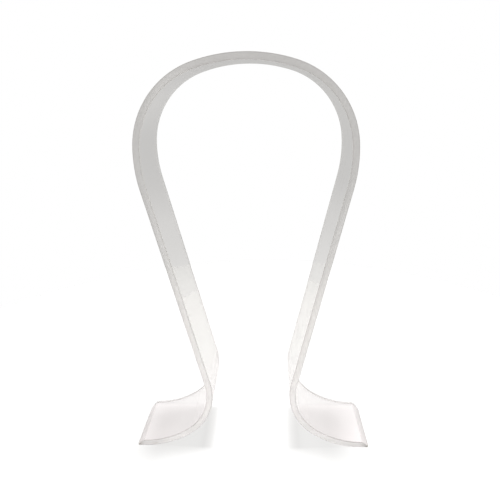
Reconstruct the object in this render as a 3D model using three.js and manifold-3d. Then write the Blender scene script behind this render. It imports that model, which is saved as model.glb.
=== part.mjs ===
// Headphone stand: one strip of clear acrylic sheet, heat-bent to an omega outline.
// Millimetres, +Z up. Origin at the middle of the resting plane, the strip's width along Y,
// front edge at -Y. The outline is symmetric about the YZ plane.
import * as THREE from 'three';
import { mergeVertices } from 'three/addons/utils/BufferGeometryUtils.js';
import Module from 'manifold-3d';

// Overall size
const STAND_HEIGHT = 250;
const STRIP_WIDTH = 45;
const SHEET_THICKNESS = 4;

// Bends, as radii of the sheet's mid surface and the angle each one turns through
const CROWN_RADIUS = 91;
const CROWN_HALF_ANGLE = 18;
const SHOULDER_RADIUS = 48;
const SHOULDER_ANGLE = 68;
const FLANK_RADIUS = 80;
const FLANK_ANGLE = 17.5;
const KNEE_RADIUS = 34.5;
const INSTEP_RADIUS = 56;
const INSTEP_ANGLE = 34;

// Flat end of each foot, which rests on the table, and the bevel its upper face ends in
const FOOT_LAND = 4.5;
const TOE_BEVEL = 4;
const TOE_LIP = 0.9;

// Corners and edges
const REAR_CORNER_RADIUS = 6;
const FRONT_CORNER_RADIUS = 1;
const EDGE_BREAK = 0.4;

// Fineness of the faceted arcs
const DEGREES_PER_FACET = 3;
const CORNER_FACETS = 8;

const HALF_SHEET = SHEET_THICKNESS / 2;
const HALF_WIDTH = STRIP_WIDTH / 2;
const RIGHT_ANGLE = 90;
const LEG_LEAN = CROWN_HALF_ANGLE + SHOULDER_ANGLE + FLANK_ANGLE - RIGHT_ANGLE;
const KNEE_ANGLE = RIGHT_ANGLE + LEG_LEAN - INSTEP_ANGLE;

const radians = THREE.MathUtils.degToRad;

// Walks the right half of the mid surface from the crown's middle to the toe. Each station
// is a point with its heading: degrees turned down from +X.
function walkMidSurface(legLength) {
  const stations = [{ x: 0, z: 0, heading: 0 }];
  const step = (length, turn) => {
    const last = stations[stations.length - 1];
    const mean = radians(last.heading + turn / 2);
    stations.push({
      x: last.x + length * Math.cos(mean),
      z: last.z - length * Math.sin(mean),
      heading: last.heading + turn,
    });
  };
  const bend = (radius, angle) => {
    const facets = Math.ceil(Math.abs(angle) / DEGREES_PER_FACET);
    const turn = angle / facets;
    const chord = 2 * radius * Math.sin(radians(Math.abs(turn) / 2));
    for (let i = 0; i < facets; i += 1) {
      step(chord, turn);
    }
  };
  bend(CROWN_RADIUS, CROWN_HALF_ANGLE);
  bend(SHOULDER_RADIUS, SHOULDER_ANGLE);
  bend(FLANK_RADIUS, FLANK_ANGLE);
  step(legLength, 0);
  bend(KNEE_RADIUS, -KNEE_ANGLE);
  bend(INSTEP_RADIUS, -INSTEP_ANGLE);
  step(FOOT_LAND, 0);
  return stations;
}

// The straight leg takes whatever height the bends leave over.
function solveLegLength() {
  const bendsOnly = walkMidSurface(0);
  const drop = -bendsOnly[bendsOnly.length - 1].z;
  return (STAND_HEIGHT - SHEET_THICKNESS - drop) / Math.cos(radians(LEG_LEAN));
}

// Offsets every station by half the sheet to each side, in table coordinates.
function offsetSurface(stations, offset) {
  const crownLevel = STAND_HEIGHT - HALF_SHEET;
  return stations.map(({ x, z, heading }) => new THREE.Vector2(
    x + offset * Math.sin(radians(heading)),
    crownLevel + z + offset * Math.cos(radians(heading)),
  ));
}

// Replaces a surface's sharp end at the toe by a slope of the given run and rise.
function slopeToe(surface, run, rise) {
  const toe = surface[surface.length - 1];
  return [
    ...surface.slice(0, -1),
    new THREE.Vector2(toe.x - run, toe.y),
    new THREE.Vector2(toe.x, toe.y + rise),
  ];
}

const mirrored = (points) => points.map((p) => new THREE.Vector2(-p.x, p.y));

// Closed side view of the bent strip, counter-clockwise.
function stripOutline() {
  const stations = walkMidSurface(solveLegLength());
  const upper = offsetSurface(stations, HALF_SHEET);
  const lower = offsetSurface(stations, -HALF_SHEET);
  const outer = slopeToe(upper, TOE_BEVEL, TOE_LIP - SHEET_THICKNESS);
  const inner = slopeToe(lower, EDGE_BREAK, EDGE_BREAK);
  return [
    ...outer.slice(1).reverse(),
    ...mirrored(outer),
    ...mirrored(inner.slice(1)).reverse(),
    ...inner,
  ];
}

// The side view extruded across the strip's width, its long edges broken.
function stripGeometry() {
  const geometry = new THREE.ExtrudeGeometry(new THREE.Shape(stripOutline()), {
    depth: STRIP_WIDTH - 2 * EDGE_BREAK,
    bevelEnabled: true,
    bevelThickness: EDGE_BREAK,
    bevelSize: EDGE_BREAK,
    bevelOffset: -EDGE_BREAK,
    bevelSegments: 1,
    curveSegments: 1,
  });
  geometry.translate(0, 0, EDGE_BREAK - HALF_WIDTH);
  geometry.rotateX(radians(RIGHT_ANGLE));
  return geometry;
}

// Waste outside one rounded corner of a foot, in plan; side is +1 right or -1 left, and
// depth is +1 rear or -1 front.
function cornerWaste(toeX, side, depth, radius) {
  const margin = 3;
  const wasteHeight = 20;
  const centre = new THREE.Vector2(toeX - radius, HALF_WIDTH - radius);
  const points = [];
  for (let i = 0; i <= CORNER_FACETS; i += 1) {
    const angle = radians((RIGHT_ANGLE * i) / CORNER_FACETS);
    points.push(new THREE.Vector2(
      centre.x + radius * Math.cos(angle),
      centre.y + radius * Math.sin(angle),
    ));
  }
  points.push(new THREE.Vector2(centre.x, HALF_WIDTH + margin));
  points.push(new THREE.Vector2(toeX + margin, HALF_WIDTH + margin));
  points.push(new THREE.Vector2(toeX + margin, centre.y));
  const placed = points.map((p) => new THREE.Vector2(side * p.x, depth * p.y));
  const geometry = new THREE.ExtrudeGeometry(new THREE.Shape(placed), {
    depth: wasteHeight,
    bevelEnabled: false,
  });
  geometry.translate(0, 0, -wasteHeight / 2);
  return geometry;
}

const wasm = await Module();
wasm.setup();

function toSolid(geometry) {
  const bare = geometry.clone();
  bare.deleteAttribute('normal');
  bare.deleteAttribute('uv');
  const welded = mergeVertices(bare, 1e-4);
  return new wasm.Manifold(new wasm.Mesh({
    numProp: 3,
    vertProperties: new Float32Array(welded.attributes.position.array),
    triVerts: new Uint32Array(welded.index.array),
  }));
}

function toGeometry(solid) {
  const mesh = solid.getMesh();
  const geometry = new THREE.BufferGeometry();
  geometry.setAttribute('position', new THREE.BufferAttribute(mesh.vertProperties, 3));
  geometry.setIndex(new THREE.BufferAttribute(mesh.triVerts, 1));
  geometry.computeVertexNormals();
  return geometry;
}

const strip = stripGeometry();
strip.computeBoundingBox();
const toeX = strip.boundingBox.max.x;

let solid = toSolid(strip);
for (const side of [-1, 1]) {
  solid = solid.subtract(toSolid(cornerWaste(toeX, side, 1, REAR_CORNER_RADIUS)));
  solid = solid.subtract(toSolid(cornerWaste(toeX, side, -1, FRONT_CORNER_RADIUS)));
}

const acrylic = new THREE.MeshStandardMaterial({
  color: 0xe9e6e4,
  roughness: 0.08,
  metalness: 0,
  transparent: true,
  opacity: 0.35,
});

const bentStrip = new THREE.Mesh(toGeometry(solid), acrylic);
bentStrip.name = 'bent_acrylic_strip';

const group = new THREE.Group();
group.add(bentStrip);

export default group;
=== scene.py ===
import math

import bpy
from mathutils import Matrix, Vector


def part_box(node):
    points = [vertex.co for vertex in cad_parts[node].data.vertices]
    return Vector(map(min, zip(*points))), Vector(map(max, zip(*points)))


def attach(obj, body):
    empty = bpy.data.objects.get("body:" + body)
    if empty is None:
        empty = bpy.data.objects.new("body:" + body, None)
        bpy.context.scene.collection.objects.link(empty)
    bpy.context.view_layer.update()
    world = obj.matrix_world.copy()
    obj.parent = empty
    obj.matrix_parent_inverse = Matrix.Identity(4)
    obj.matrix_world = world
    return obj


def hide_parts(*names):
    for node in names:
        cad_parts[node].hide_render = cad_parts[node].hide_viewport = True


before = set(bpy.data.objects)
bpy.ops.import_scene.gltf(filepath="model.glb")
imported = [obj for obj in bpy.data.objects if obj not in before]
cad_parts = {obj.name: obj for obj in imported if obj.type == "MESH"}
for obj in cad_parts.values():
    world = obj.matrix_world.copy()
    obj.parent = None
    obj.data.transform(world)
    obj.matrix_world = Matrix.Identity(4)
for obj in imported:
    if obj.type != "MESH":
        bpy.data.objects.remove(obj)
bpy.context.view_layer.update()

CAD_NODE = "bent_acrylic_strip"
BODY = "root"
low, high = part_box(CAD_NODE)

# ---------------------------------------------------------------- sizes, in metres
SHEET = 0.004
WIDTH = high[1] - low[1]
HEIGHT = high[2] - low[2]

# Each bend: its radius at the sheet's mid surface, and the degrees that it turns through.
CROWN = (0.091, 18.0)
SHOULDER = (0.048, 68.0)
FLANK = (0.080, 17.5)
KNEE = (0.0345, 69.5)
INSTEP = (0.056, 34.0)
LEAN = CROWN[1] + SHOULDER[1] + FLANK[1] - 90.0

# Each foot: its flat end, and the bevel that leaves only a lip of the sheet at the toe.
FOOT_LAND = 0.0045
TOE_BEVEL = 0.004
TOE_LIP = 0.0009
BEVEL_SLOPE = math.atan2(SHEET - TOE_LIP, TOE_BEVEL)

REAR_CORNER = 0.006
FRONT_CORNER = 0.001
EDGE_ROUND = 0.0004

# Fineness of the mesh; the upper face turns into the bevel over twice BEVEL_TURN.
DEGREES_PER_RING = 1.0
RING_SPACING = 0.006
CLOSEST_RINGS = 0.00003
CORNER_STEPS = 14
ROUND_STEPS = 4
BEVEL_TURN = 0.0002

# Painted shade on the edges: 0 where the acrylic is clear and 1 where it has the dark edge colour,
# painted for the dark that the edges and toe tips bend and mirror in from the room. The toe bevels
# have some and their lips more. A rounded rim is fully shaded along its middle and partly, by the
# rim constant below, where it meets the sawn side, and the extreme front corners of the feet are
# shaded most. Each fade is the distance over which that painted shade ends.
FRONT, REAR = -1.0, 1.0
BEVEL_SHADE = {FRONT: 0.55, REAR: 0.42}
LIP_SHADE = 0.6
LIP_SHADE_FADE = 0.0014
RIM_SHADE = 0.3
RIM_SHADE_FADE = 0.0003
TIP_SHADE = 1.9
TIP_SHADE_FADE = 0.007


# ---------------------------------------------------------------- bent strip
class Outline:
    """The right half of the mid surface as arcs and lines, read by length from the crown."""

    def __init__(self, leg_length):
        self.parts = []
        self.length = 0.0
        self.x, self.z, self.heading = 0.0, 0.0, 0.0
        self.bend(*CROWN, 1)
        self.bend(*SHOULDER, 1)
        self.bend(*FLANK, 1)
        self.add(leg_length, 0.0)
        self.bend(*KNEE, -1)
        self.bend(*INSTEP, -1)
        self.add(FOOT_LAND, 0.0)

    def bend(self, radius, angle, side):
        self.add(radius * math.radians(angle), side / radius)

    def add(self, length, curvature):
        self.parts.append((self.length, length, curvature, self.x, self.z, self.heading))
        self.x, self.z, self.heading = self.walk(self.parts[-1], length)
        self.length += length

    @staticmethod
    def walk(part, distance):
        _, _, curvature, x, z, heading = part
        if curvature == 0.0:
            return x + distance * math.cos(heading), z - distance * math.sin(heading), heading
        turned = heading + curvature * distance
        x += (math.sin(turned) - math.sin(heading)) / curvature
        z += (math.cos(turned) - math.cos(heading)) / curvature
        return x, z, turned

    def at(self, distance):
        """Mid-surface point and outward normal, distance along the strip from the crown's
        middle, negative on the left half."""
        reach = min(abs(distance), self.length)
        part = [p for p in self.parts if p[0] <= reach + 1e-12][-1]
        x, z, heading = self.walk(part, reach - part[0])
        side = -1.0 if distance < 0 else 1.0
        point = Vector((side * x, 0.0, HEIGHT - SHEET / 2 + z))
        normal = Vector((side * math.sin(heading), 0.0, math.cos(heading)))
        return point, normal


# The straight leg takes whatever height the bends leave over.
bends_only = Outline(0.0)
leg_drop = HEIGHT - SHEET + bends_only.z
OUTLINE = Outline(leg_drop / math.cos(math.radians(LEAN)))


def ring_stations():
    """Lengths at which the strip gets a ring, from the crown's middle to the toe."""
    stations = set()
    for start, length, curvature, *_ in OUTLINE.parts:
        turned = math.degrees(abs(curvature) * length)
        count = max(math.ceil(turned / DEGREES_PER_RING), math.ceil(length / RING_SPACING))
        stations.update(round(start + length * i / count, 7) for i in range(count + 1))
    for radius in (REAR_CORNER, FRONT_CORNER):
        for i in range(CORNER_STEPS + 1):
            angle = math.pi / 2 * i / CORNER_STEPS
            stations.add(round(OUTLINE.length - radius * (1 - math.sin(angle)), 7))
    for offset in (-BEVEL_TURN, 0.0, BEVEL_TURN):
        stations.add(round(OUTLINE.length - TOE_BEVEL + offset, 7))
    stations = sorted(stations)
    kept = [stations[0]]
    for value in stations[1:]:
        if value - kept[-1] > CLOSEST_RINGS:
            kept.append(value)
    kept[-1] = OUTLINE.length
    return kept


def distance_from_toe(distance):
    return max(0.0, OUTLINE.length - abs(distance))


def side_edge(distance, radius):
    """Half width of the flat pattern at a station near a toe with the corner radius given,
    and the edge's direction outwards as (along the strip, across it)."""
    from_toe = distance_from_toe(distance)
    if from_toe >= radius:
        return WIDTH / 2, (0.0, 1.0)
    along = (radius - from_toe) / radius
    across = math.sqrt(max(0.0, 1.0 - along * along))
    sign = -1.0 if distance < 0 else 1.0
    return WIDTH / 2 - radius * (1 - across), (sign * along, across)


def toe_bevel(distance):
    """At a place along the strip: the sheet's thickness over its full one, and how far its
    upper face has turned into the slope of the toe's bevel, 0 to 1."""
    from_toe = distance_from_toe(distance)
    turned = (TOE_BEVEL + BEVEL_TURN - from_toe) / (2 * BEVEL_TURN)
    thickness = TOE_LIP + (SHEET - TOE_LIP) * min(1.0, from_toe / TOE_BEVEL)
    return thickness / SHEET, min(1.0, max(0.0, turned))


def rim_profile():
    """Section of a rounded edge, top to bottom: inset from the edge, height over the mid
    surface, the angle of its normal from the sheet's plane, and its painted shade."""
    quarter = []
    for i in range(ROUND_STEPS + 1):
        tilt = math.pi / 2 * (1 - i / ROUND_STEPS)
        inset = EDGE_ROUND * (1 - math.cos(tilt))
        height = SHEET / 2 - EDGE_ROUND * (1 - math.sin(tilt))
        edge_shade = math.sin(2 * tilt)
        if tilt < math.pi / 4:
            edge_shade = RIM_SHADE + (1.0 - RIM_SHADE) * edge_shade
        quarter.append((inset, height, tilt, edge_shade))
    quarter.append((0.0, SHEET / 2 - EDGE_ROUND - RIM_SHADE_FADE, 0.0, 0.0))
    return quarter + [(inset, -height, -tilt, edge_shade) for inset, height, tilt, edge_shade in quarter[::-1]]


def on_broad_face(tilt):
    return abs(tilt) > math.pi / 2 - 1e-6


def sawn_share(tilt, turned):
    """1 on the sawn sides, their rims and the toe bevels, 0 on the sheet's own faces."""
    if not on_broad_face(tilt):
        return 1.0
    return turned if tilt > 0 else 0.0


# Painted shade at a point of the strip: on the rims, the toe bevels and most at the front tips.
def edge_shade_at(side, reach, tilt, turned, rim_shade):
    from_toe = distance_from_toe(reach)
    if not on_broad_face(tilt):
        tip_shade = TIP_SHADE * max(0.0, 1.0 - from_toe / TIP_SHADE_FADE) ** 2
        return max(rim_shade, tip_shade) if side == FRONT else rim_shade
    if tilt < 0:
        return 0.0
    return turned * (BEVEL_SHADE[side] + LIP_SHADE * max(0.0, 1.0 - from_toe / LIP_SHADE_FADE))


def strip_faces(ring_count, rim_count):
    """Quads between neighbouring rings, and the two toe ends as ladders of quads."""
    loop = 2 * rim_count
    faces = []
    for ring in range(ring_count - 1):
        a, b = ring * loop, (ring + 1) * loop
        for k in range(loop):
            n = (k + 1) % loop
            faces.append((a + k, a + n, b + n, b + k))
    last = (ring_count - 1) * loop
    for k in range(rim_count - 1):
        m = loop - 1 - k
        faces.append((k, m, m - 1, k + 1))
        faces.append((last + k, last + k + 1, last + m - 1, last + m))
    return faces


def make_strip(name):
    rim = rim_profile()
    half = ring_stations()
    stations = [-s for s in half[:0:-1]] + half
    verts, normals, sawn, edge_shade, developed = [], [], [], [], []
    for distance in stations:
        for side, radius in ((FRONT, FRONT_CORNER), (REAR, REAR_CORNER)):
            edge, (along, across) = side_edge(distance, radius)
            profile = rim if side == FRONT else rim[::-1]
            for inset, height, tilt, rim_shade in profile:
                reach = distance - along * inset
                y = side * (edge - across * inset)
                point, normal = OUTLINE.at(reach)
                tangent = Vector((normal.z, 0.0, -normal.x))
                share, turned = toe_bevel(reach)
                height = (height + SHEET / 2) * share - SHEET / 2
                slope = BEVEL_SLOPE * turned if tilt > 0 else 0.0
                toeward = tangent * math.copysign(1.0, distance)
                upward = normal * math.cos(slope) + toeward * math.sin(slope)
                outward = tangent * along + Vector((0.0, side * across, 0.0))
                verts.append(point + normal * height + Vector((0.0, y, 0.0)))
                normals.append(upward * math.sin(tilt) + outward * math.cos(tilt))
                sawn.append(sawn_share(tilt, turned))
                edge_shade.append(edge_shade_at(side, reach, tilt, turned, rim_shade))
                developed.append((distance, y - side * height))
    mesh = bpy.data.meshes.new(name)
    mesh.from_pydata([tuple(v) for v in verts], [], strip_faces(len(stations), len(rim)))
    mesh.validate()
    for attribute, values in (("sawn", sawn), ("edge_shade", edge_shade)):
        mesh.attributes.new(attribute, "FLOAT", "POINT").data.foreach_set("value", values)
    uv_layer = mesh.uv_layers.new(name="developed")
    for corner in mesh.loops:
        uv_layer.data[corner.index].uv = developed[corner.vertex_index]
    for face in mesh.polygons:
        face.use_smooth = True
    mesh.normals_split_custom_set_from_vertices([tuple(n.normalized()) for n in normals])
    piece = bpy.data.objects.new(name, mesh)
    bpy.context.scene.collection.objects.link(piece)
    return piece


# ---------------------------------------------------------------- shader nodes
# Sockets of a Mix node that mixes colours.
COLOUR_A, COLOUR_B, COLOUR_OUT = 6, 7, 2


def node_tree(owner):
    """The owner's emptied node tree, and a function that adds a node to it: its inputs are
    values or the sockets that feed them, and its settings are the node's own fields."""
    owner.use_nodes = True
    tree = owner.node_tree
    tree.nodes.clear()

    def make(kind, inputs=None, **settings):
        node = tree.nodes.new(kind)
        for key, value in settings.items():
            setattr(node, key, value)
        for key, value in (inputs or {}).items():
            if isinstance(value, bpy.types.NodeSocket):
                tree.links.new(value, node.inputs[key])
            else:
                node.inputs[key].default_value = value
        return node

    return tree, make


def set_stops(ramp, tones):
    stops = ramp.color_ramp.elements
    while len(stops) < len(tones):
        stops.new(0.5)
    for stop, (position, colour) in zip(stops, tones):
        stop.position = position
        stop.color = (*colour, 1.0)


# ---------------------------------------------------------------- acrylic
CLEAN = (1.0, 0.998, 0.995, 1.0)
# Dark colour painted on the edges and toe tips as shade.
EDGE_SHADE_COLOUR = (0.5, 0.485, 0.465, 1.0)
BODY_TINT = (0.966, 0.9615, 0.957, 1.0)
BODY_TINT_DENSITY = 36.0
FACE_ROUGH = (0.01, 0.05)
SAWN_ROUGH = (0.278, 0.31)
WAVE_BUMP = 0.2
STREAK_BUMP = 0.25
# Lamp light passes the sheet: the share that does head on, how steeply that falls at a
# slant, and the slants, 0 head on and 1 along the sheet, between which light starts to graze.
PANE_CLEAR = 0.955
PANE_FALL = 5.0
GRAZE = (0.62, 0.86)


def clear_acrylic():
    material = bpy.data.materials.new("clear_acrylic")
    tree, make = node_tree(material)
    place = make("ShaderNodeTexCoord").outputs["Object"]
    flat = make("ShaderNodeUVMap", uv_map="developed").outputs["UV"]
    sawn = make("ShaderNodeAttribute", attribute_name="sawn").outputs["Fac"]
    # Painted shade on the edges and toe tips.
    edge_shade = make("ShaderNodeAttribute", attribute_name="edge_shade").outputs["Fac"]

    # Broad faces: faint long waves from the bending oven, and fine handling scratches.
    waves = make("ShaderNodeTexNoise", {"Vector": place, "Scale": 38.0, "Detail": 1.5})
    stretched = make("ShaderNodeMapping", {"Vector": flat, "Scale": (260.0, 1800.0, 1.0)})
    scratches = make(
        "ShaderNodeTexNoise",
        {"Vector": stretched.outputs["Vector"], "Scale": 1.0, "Detail": 3.0, "Roughness": 0.6},
    )
    face_rough = make(
        "ShaderNodeMapRange",
        {"Value": scratches.outputs["Fac"], "From Min": 0.45, "From Max": 0.8,
         "To Min": FACE_ROUGH[0], "To Max": FACE_ROUGH[1]},
    )

    # Sawn sides and bevels: long streaks along the strip, polished down to a satin.
    cutter = make("ShaderNodeMapping", {"Vector": flat, "Scale": (7.0, 800.0, 1.0)})
    streaks = make(
        "ShaderNodeTexNoise",
        {"Vector": cutter.outputs["Vector"], "Scale": 1.0, "Detail": 1.0},
    )
    sawn_rough = make(
        "ShaderNodeMapRange",
        {"Value": streaks.outputs["Fac"], "From Min": 0.35, "From Max": 0.7,
         "To Min": SAWN_ROUGH[0], "To Max": SAWN_ROUGH[1]},
    )

    rough = make(
        "ShaderNodeMix",
        {"Factor": sawn, "A": face_rough.outputs["Result"], "B": sawn_rough.outputs["Result"]},
    )
    # Painted shade over 1 goes on past the dark edge colour towards black.
    colour = make(
        "ShaderNodeMix", {"Factor": edge_shade, COLOUR_A: CLEAN, COLOUR_B: EDGE_SHADE_COLOUR},
        data_type="RGBA", clamp_factor=False, clamp_result=True,
    )
    wave_bump = make(
        "ShaderNodeBump",
        {"Height": waves.outputs["Fac"], "Strength": WAVE_BUMP, "Distance": 0.0004},
    )
    streak_height = make(
        "ShaderNodeMath", {0: streaks.outputs["Fac"], 1: sawn}, operation="MULTIPLY")
    fine_bump = make(
        "ShaderNodeBump",
        {"Height": streak_height.outputs["Value"], "Strength": STREAK_BUMP,
         "Distance": 0.00004, "Normal": wave_bump.outputs["Normal"]},
    )
    surface = make(
        "ShaderNodeBsdfPrincipled",
        {"Base Color": colour.outputs[COLOUR_OUT], "Transmission Weight": 1.0, "IOR": 1.49,
         "Roughness": rough.outputs["Result"], "Normal": fine_bump.outputs["Normal"]},
    )

    # Light from the lamp passes the sheet as through a window pane: nearly all of it head
    # on and less at a slant, but light that only grazes the sheet is hardly turned aside.
    slant = make("ShaderNodeLayerWeight", {"Blend": 0.5}).outputs["Facing"]
    fall = make("ShaderNodeMath", {0: slant, 1: PANE_FALL}, operation="POWER")
    grazing = make(
        "ShaderNodeMapRange",
        {"Value": slant, "From Min": GRAZE[0], "From Max": GRAZE[1], "To Min": 1.0, "To Max": 0.0},
        interpolation_type="SMOOTHSTEP",
    )
    held_back = make(
        "ShaderNodeMath", {0: fall.outputs["Value"], 1: grazing.outputs["Result"]},
        operation="MULTIPLY",
    )
    passed = make(
        "ShaderNodeMapRange",
        {"Value": held_back.outputs["Value"], "To Min": PANE_CLEAR, "To Max": 0.0},
    )
    pane = make("ShaderNodeBsdfTransparent", {"Color": passed.outputs["Result"]})
    to_lamp = make("ShaderNodeLightPath").outputs["Is Shadow Ray"]
    whole = make(
        "ShaderNodeMixShader", {0: to_lamp, 1: surface.outputs["BSDF"], 2: pane.outputs["BSDF"]})
    volume = make(
        "ShaderNodeVolumeAbsorption", {"Color": BODY_TINT, "Density": BODY_TINT_DENSITY})
    output = make("ShaderNodeOutputMaterial")
    tree.links.new(whole.outputs["Shader"], output.inputs["Surface"])
    tree.links.new(volume.outputs["Volume"], output.inputs["Volume"])
    return material


# ---------------------------------------------------------------- floor
FLOOR_RADIUS = 0.355
FLOOR_GAP = 0.00005
FLOOR_SIDES = 128
FLOOR_SEEN = (0.508, 0.508, 0.508, 1.0)
# Seen through the acrylic: how far back on the floor in metres, and the tone there. These tones
# are painted light and shade: brighter under the feet, brightest in a band just inside their rear
# edge, and darker further off in front and behind.
FLOOR_LIGHT_AND_SHADE = (
    (-FLOOR_RADIUS, (0.235, 0.233, 0.228)),
    (-0.060, (0.500, 0.482, 0.486)),
    (-0.022, (0.535, 0.512, 0.516)),
    (0.002, (0.496, 0.479, 0.482)),
    (0.016, (0.496, 0.479, 0.482)),
    (0.0190, (0.522, 0.502, 0.506)),
    (0.0225, (0.449, 0.438, 0.439)),
    (0.060, (0.450, 0.441, 0.439)),
    (0.124, (0.427, 0.423, 0.416)),
    (0.220, (0.424, 0.417, 0.410)),
    (0.305, (0.391, 0.388, 0.379)),
    (FLOOR_RADIUS, (0.372, 0.368, 0.360)),
)
# Painted shade out to the sides: that tone darkens from this distance, down to this share at the
# rim.
SIDE_SHADE_FADE = (0.14, 0.9)


def pale_floor():
    """White board. The camera sees it bleached, but through the acrylic and in reflections
    it has duller tones with painted light and shade, brighter under the feet and darker further
    off, which near the rim come close to the studio's."""
    material = bpy.data.materials.new("pale_floor")
    tree, make = node_tree(material)
    place = make("ShaderNodeNewGeometry").outputs["Position"]
    spot = make("ShaderNodeSeparateXYZ", {"Vector": place})
    back = make(
        "ShaderNodeMapRange",
        {"Value": spot.outputs["Y"], "From Min": -FLOOR_RADIUS, "From Max": FLOOR_RADIUS},
    )
    # Painted light and shade on the floor's tone, by how far back it lies.
    tone = make("ShaderNodeValToRGB", {"Fac": back.outputs["Result"]})
    set_stops(tone, [((y / FLOOR_RADIUS + 1.0) / 2.0, colour) for y, colour in FLOOR_LIGHT_AND_SHADE])
    # Painted shade towards the sides.
    sideways = make("ShaderNodeMath", {0: spot.outputs["X"]}, operation="ABSOLUTE")
    side_shade = make(
        "ShaderNodeMapRange",
        {"Value": sideways.outputs["Value"], "From Min": SIDE_SHADE_FADE[0], "From Max": FLOOR_RADIUS,
         "To Min": 1.0, "To Max": SIDE_SHADE_FADE[1]},
    )
    shade = make(
        "ShaderNodeVectorMath", {0: tone.outputs["Color"], "Scale": side_shade.outputs["Result"]},
        operation="SCALE",
    )
    direct = make("ShaderNodeLightPath").outputs["Is Camera Ray"]
    colour = make(
        "ShaderNodeMix",
        {"Factor": direct, COLOUR_A: shade.outputs["Vector"], COLOUR_B: FLOOR_SEEN},
        data_type="RGBA",
    )
    surface = make(
        "ShaderNodeBsdfPrincipled",
        {"Base Color": colour.outputs[COLOUR_OUT], "Roughness": 0.9, "Specular IOR Level": 0.0},
    )
    output = make("ShaderNodeOutputMaterial")
    tree.links.new(surface.outputs["BSDF"], output.inputs["Surface"])
    return material


def make_floor():
    mesh = bpy.data.meshes.new("floor")
    ring = [
        (FLOOR_RADIUS * math.cos(math.tau * i / FLOOR_SIDES),
         FLOOR_RADIUS * math.sin(math.tau * i / FLOOR_SIDES), low[2] - FLOOR_GAP)
        for i in range(FLOOR_SIDES)
    ]
    mesh.from_pydata(ring, [], [tuple(range(FLOOR_SIDES))])
    floor = bpy.data.objects.new("floor", mesh)
    floor.data.materials.append(pale_floor())
    bpy.context.scene.collection.objects.link(floor)


# ---------------------------------------------------------------- studio
# Height of a direction, -1 to 1, and the tone of the studio there.
WALL_TONES = (
    (-0.60, 0.90), (-0.33, 0.74), (-0.25, 0.72), (-0.18, 0.61), (-0.08, 0.55), (0.15, 0.55),
    (0.35, 0.62), (0.50, 0.86), (0.68, 0.88), (0.82, 0.62), (1.0, 0.42),
)
STUDIO_TINT = (1.0, 0.99, 0.974, 1.0)
SIDE_WALLS = 0.35
FRONT_SHADE = 0.7


def make_world():
    """A white page to the camera, and to everything else a grey studio: brighter walls at
    the sides, a bright band below the ceiling, and a dimmer room on the camera's side."""
    world = bpy.data.worlds.new("studio")
    bpy.context.scene.world = world
    tree, make = node_tree(world)
    direction = make("ShaderNodeTexCoord").outputs["Generated"]
    split = make("ShaderNodeSeparateXYZ", {"Vector": direction})
    height = make("ShaderNodeMapRange", {"Value": split.outputs["Z"], "From Min": -1.0})
    ramp = make("ShaderNodeValToRGB", {"Fac": height.outputs["Result"]})
    set_stops(ramp, [((z + 1.0) / 2.0, (tone,) * 3) for z, tone in WALL_TONES])
    sideways = make("ShaderNodeMath", {0: split.outputs["X"]}, operation="ABSOLUTE")
    side = make(
        "ShaderNodeMapRange",
        {"Value": sideways.outputs["Value"], "From Min": 0.38, "From Max": 0.6,
         "To Max": SIDE_WALLS},
        interpolation_type="SMOOTHSTEP",
    )
    front = make(
        "ShaderNodeMapRange",
        {"Value": split.outputs["Y"], "From Min": -0.15, "From Max": 0.15,
         "To Min": FRONT_SHADE, "To Max": 1.0},
        interpolation_type="SMOOTHSTEP",
    )
    above = make(
        "ShaderNodeMapRange",
        {"Value": split.outputs["Z"], "From Min": 0.3, "From Max": 0.6},
        interpolation_type="SMOOTHSTEP",
    )
    lit_front = make(
        "ShaderNodeMix",
        {"Factor": above.outputs["Result"], "A": front.outputs["Result"], "B": 1.0},
    )
    walls = make(
        "ShaderNodeMath", {0: ramp.outputs["Color"], 1: side.outputs["Result"]}, operation="ADD")
    tone = make(
        "ShaderNodeMath", {0: walls.outputs["Value"], 1: lit_front.outputs["Result"]},
        operation="MULTIPLY",
    )
    studio = make(
        "ShaderNodeBackground", {"Color": STUDIO_TINT, "Strength": tone.outputs["Value"]})
    page = make("ShaderNodeBackground", {"Color": (1.0, 1.0, 1.0, 1.0), "Strength": 1.0})
    seen = make("ShaderNodeLightPath").outputs["Is Camera Ray"]
    both = make("ShaderNodeMixShader", {0: seen, 1: studio.outputs[0], 2: page.outputs[0]})
    output = make("ShaderNodeOutputWorld")
    tree.links.new(both.outputs[0], output.inputs["Surface"])


# ---------------------------------------------------------------- key light
KEY_POWER = 46.0
KEY_SIZE = 0.2
KEY_PLACE = (0.05, 0.1, 1.8)


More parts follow.
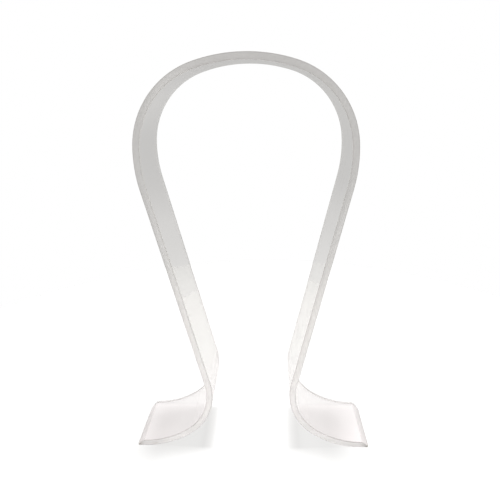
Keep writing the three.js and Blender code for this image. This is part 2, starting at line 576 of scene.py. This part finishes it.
def make_key_light():
    """A soft lamp straight down on the floor, which the acrylic neither mirrors nor bends."""
    data = bpy.data.lights.new("key", "AREA")
    data.shape = "DISK"
    data.size = KEY_SIZE
    data.energy = KEY_POWER
    light = bpy.data.objects.new("key", data)
    light.location = KEY_PLACE
    light.visible_glossy = False
    light.visible_transmission = False
    bpy.context.scene.collection.objects.link(light)


# ---------------------------------------------------------------- camera, turns in degrees
CAMERA_PLACE = Vector((0.01448, -0.29604, 0.23046))
CAMERA_YAW = -2.713
CAMERA_PITCH = 18.143
CAMERA_ROLL = -1.267
LENS_OVER_WIDTH = 0.97432
SENSOR = 36.0


def make_camera():
    yaw, pitch, roll = (math.radians(a) for a in (CAMERA_YAW, CAMERA_PITCH, CAMERA_ROLL))
    ahead = Vector((
        math.sin(yaw) * math.cos(pitch), math.cos(yaw) * math.cos(pitch), -math.sin(pitch)))
    across = Vector((math.cos(yaw), -math.sin(yaw), 0.0))
    above = across.cross(ahead)
    right = across * math.cos(roll) + above * math.sin(roll)
    up = above * math.cos(roll) - across * math.sin(roll)
    data = bpy.data.cameras.new("camera")
    data.sensor_width = SENSOR
    data.lens = LENS_OVER_WIDTH * SENSOR
    data.clip_start = 0.01
    camera = bpy.data.objects.new("camera", data)
    turn = Matrix((right, up, -ahead)).transposed()
    camera.matrix_world = Matrix.Translation(CAMERA_PLACE) @ turn.to_4x4()
    bpy.context.scene.collection.objects.link(camera)
    bpy.context.scene.camera = camera


# ---------------------------------------------------------------- the scene
make_camera()
make_floor()
make_world()
make_key_light()

strip = make_strip("acrylic_strip")
strip.data.materials.append(clear_acrylic())
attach(strip, BODY)
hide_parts(CAD_NODE)
# It casts the lamp's shadow, but doesn't take the studio's light away from the floor.
strip.visible_diffuse = False

# Light runs along inside the sheet, so a path needs many bounces to come out again.
LONGEST_PATH = 160
scene = bpy.context.scene
scene.view_settings.view_transform = "Standard"
scene.cycles.max_bounces = LONGEST_PATH
scene.cycles.glossy_bounces = LONGEST_PATH
scene.cycles.transmission_bounces = LONGEST_PATH
scene.cycles.transparent_max_bounces = 16
